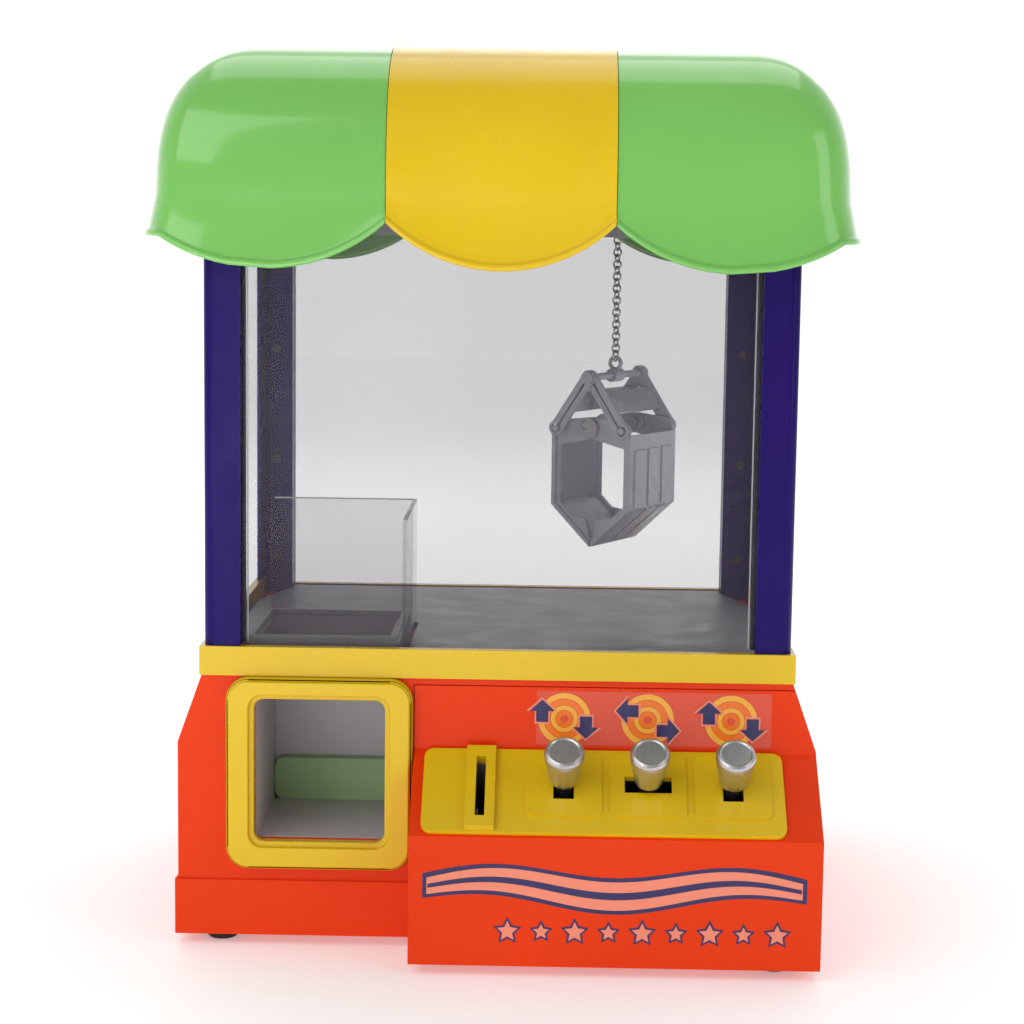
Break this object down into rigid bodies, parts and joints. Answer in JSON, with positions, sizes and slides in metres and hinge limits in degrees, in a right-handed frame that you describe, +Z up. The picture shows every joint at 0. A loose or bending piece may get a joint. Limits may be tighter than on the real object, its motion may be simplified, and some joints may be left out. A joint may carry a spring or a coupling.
{
  "type": "toy claw crane machine",
  "caption": "Tabletop toy claw crane with a glazed cabinet, scalloped dome canopy, stick console, coin slot, prize chute and a clamshell claw on a chain.",
  "frame": {"origin": "on the table under the middle of the machine's bounding box", "axes": "+X to the machine's right seen from the front, +Y to the back, +Z up"},
  "size_m": [0.2776, 0.2601, 0.36],
  "materials": {
    "orange_plastic": "glossy",
    "yellow_plastic": "glossy",
    "green_plastic": "glossy",
    "purple_plastic": "glossy",
    "grey_plastic": "satin",
    "black_plastic": "satin",
    "clear_plastic": "clear, polished",
    "silver_knob": "satin metal plating",
    "claw_plastic": "silver-grey, semi-gloss",
    "steel": "bright",
    "dark_steel": "blackened",
    "motor_metal": "satin",
    "rubber": "matt",
    "green_pad": "matt",
    "board": "satin solder mask"
  },
  "bodies": {
    "cabinet": {"base_housing": "orange_plastic", "console_housing": "orange_plastic", "base_plate": "orange_plastic", "rubber_feet": "rubber", "base_screws": "steel", "deck_bezel": "yellow_plastic", "deck_tray": "grey_plastic", "chute_guard": "clear_plastic", "prize_chute": "grey_plastic", "landing_pad": "green_pad", "prize_door_frame": "yellow_plastic", "control_panel": "yellow_plastic", "coin_slot_bar": "yellow_plastic", "coin_chute": "grey_plastic", "stick_brackets": "black_plastic", "stick_springs": "steel", "circuit_board": "board", "speaker": "black_plastic", "battery_box": "black_plastic", "batteries": "motor_metal", "battery_door": "orange_plastic", "post_front_left": "purple_plastic", "post_front_right": "purple_plastic", "post_rear_left": "purple_plastic", "post_rear_right": "purple_plastic", "front_window": "clear_plastic", "rear_window": "clear_plastic", "left_window": "clear_plastic", "right_window": "clear_plastic", "window_screws": "dark_steel", "ceiling_plate": "grey_plastic", "gantry_rails": "steel", "canopy_front_left": "green_plastic", "canopy_front_centre": "yellow_plastic", "canopy_front_right": "green_plastic", "canopy_rear_left": "green_plastic", "canopy_rear_centre": "yellow_plastic", "canopy_rear_right": "green_plastic"},
    "bridge": {"bridge_trucks": "grey_plastic", "bridge_rods": "steel", "bridge_motor": "motor_metal"},
    "bridge_axle": {"bridge_axle": "black_plastic"},
    "carriage": {"carriage_frame": "grey_plastic", "winch_motor": "motor_metal"},
    "carriage_roller": {"carriage_roller": "black_plastic"},
    "winch_drum": {"winch_drum": "black_plastic"},
    "hoist": {"chain": "steel"},
    "claw": {"claw_yoke": "claw_plastic"},
    "claw_core": {"pivot_pins": "steel"},
    "jaw_right": {"jaw_right": "claw_plastic"},
    "jaw_left": {"jaw_left": "claw_plastic"},
    "link_right": {"link_right": "claw_plastic"},
    "link_left": {"link_left": "claw_plastic"},
    "depth_stick": {"depth_stick": "black_plastic", "depth_knob": "silver_knob"},
    "side_stick": {"side_stick": "black_plastic", "side_knob": "silver_knob"},
    "lift_stick": {"lift_stick": "black_plastic", "lift_knob": "silver_knob"},
    "coin_lever": {"coin_lever": "steel"}
  },
  "joints": [
    {"name": "bridge_travel", "type": "slide", "parent": "cabinet", "child": "bridge", "axis": [0, 1, 0], "range_m": [-0.067, 0.033]},
    {"name": "bridge_axle_spin", "type": "hinge", "parent": "bridge", "child": "bridge_axle", "pos_m": [0, 0.00085, 0.2965], "axis": [1, 0, 0], "range_deg": [-650, 650]},
    {"name": "carriage_travel", "type": "slide", "parent": "bridge", "child": "carriage", "axis": [1, 0, 0], "range_m": [-0.119, 0.012]},
    {"name": "carriage_roller_spin", "type": "hinge", "parent": "carriage", "child": "carriage_roller", "pos_m": [0.054, -0.00515, 0.3155], "axis": [0, 1, 0], "range_deg": [-1150, 120]},
    {"name": "hoist_drop", "type": "slide", "parent": "carriage", "child": "hoist", "axis": [0, 0, -1], "range_m": [-0.036, 0.028]},
    {"name": "winch_drum_spin", "type": "hinge", "parent": "carriage", "child": "winch_drum", "pos_m": [0.05847, 0.02085, 0.318], "axis": [0, 1, 0], "range_deg": [-160, 200]},
    {"name": "claw_twist", "type": "hinge", "parent": "hoist", "child": "claw", "pos_m": [0.048, 0.02085, 0.2294], "axis": [0, 0, 1], "range_deg": [-45, 45]},
    {"name": "core_drop", "type": "slide", "parent": "claw", "child": "claw_core", "axis": [0, 0, -1], "range_m": [0, 0.0095]},
    {"name": "jaw_right_open", "type": "hinge", "parent": "claw_core", "child": "jaw_right", "pos_m": [0.048, 0.02085, 0.2022], "axis": [-0.5, -0.866, 0], "range_deg": [0, 30]},
    {"name": "jaw_left_open", "type": "hinge", "parent": "claw_core", "child": "jaw_left", "pos_m": [0.048, 0.02085, 0.2022], "axis": [0.5, 0.866, 0], "range_deg": [0, 30]},
    {"name": "link_right_swing", "type": "hinge", "parent": "claw", "child": "link_right", "pos_m": [0.048, 0.02085, 0.2242], "axis": [0.5, 0.866, 0], "range_deg": [0, 5]},
    {"name": "link_left_swing", "type": "hinge", "parent": "claw", "child": "link_left", "pos_m": [0.048, 0.02085, 0.2242], "axis": [-0.5, -0.866, 0], "range_deg": [0, 5]},
    {"name": "depth_stick_tilt", "type": "hinge", "parent": "cabinet", "child": "depth_stick", "pos_m": [0.027, -0.10362, 0.06272], "axis": [1, 0, 0], "range_deg": [-16, 16], "stiffness_Nm_per_rad": 0.08},
    {"name": "side_stick_tilt", "type": "hinge", "parent": "cabinet", "child": "side_stick", "pos_m": [0.06, -0.10362, 0.06272], "axis": [0, 0.7887, 0.6147], "range_deg": [-18, 18], "stiffness_Nm_per_rad": 0.08},
    {"name": "lift_stick_tilt", "type": "hinge", "parent": "cabinet", "child": "lift_stick", "pos_m": [0.093, -0.10362, 0.06272], "axis": [1, 0, 0], "range_deg": [-16, 16], "stiffness_Nm_per_rad": 0.08},
    {"name": "coin_lever_swing", "type": "hinge", "parent": "cabinet", "child": "coin_lever", "pos_m": [-0.01325, -0.09617, 0.04824], "axis": [0, -0.7887, -0.6147], "range_deg": [0, 12], "stiffness_Nm_per_rad": 0.01}
  ],
  "couplings": [
    {"joint": "bridge_axle_spin", "follows": "bridge_travel", "rad_per_m": -166.67},
    {"joint": "carriage_roller_spin", "follows": "carriage_travel", "rad_per_m": 166.67},
    {"joint": "winch_drum_spin", "follows": "hoist_drop", "rad_per_m": -95.5},
    {"joint": "jaw_left_open", "follows": "jaw_right_open", "ratio": 1},
    {"joint": "core_drop", "follows": "jaw_right_open", "m_per_rad": 0.01726},
    {"joint": "link_right_swing", "follows": "jaw_right_open", "ratio": 0.152},
    {"joint": "link_left_swing", "follows": "jaw_right_open", "ratio": 0.152}
  ]
}
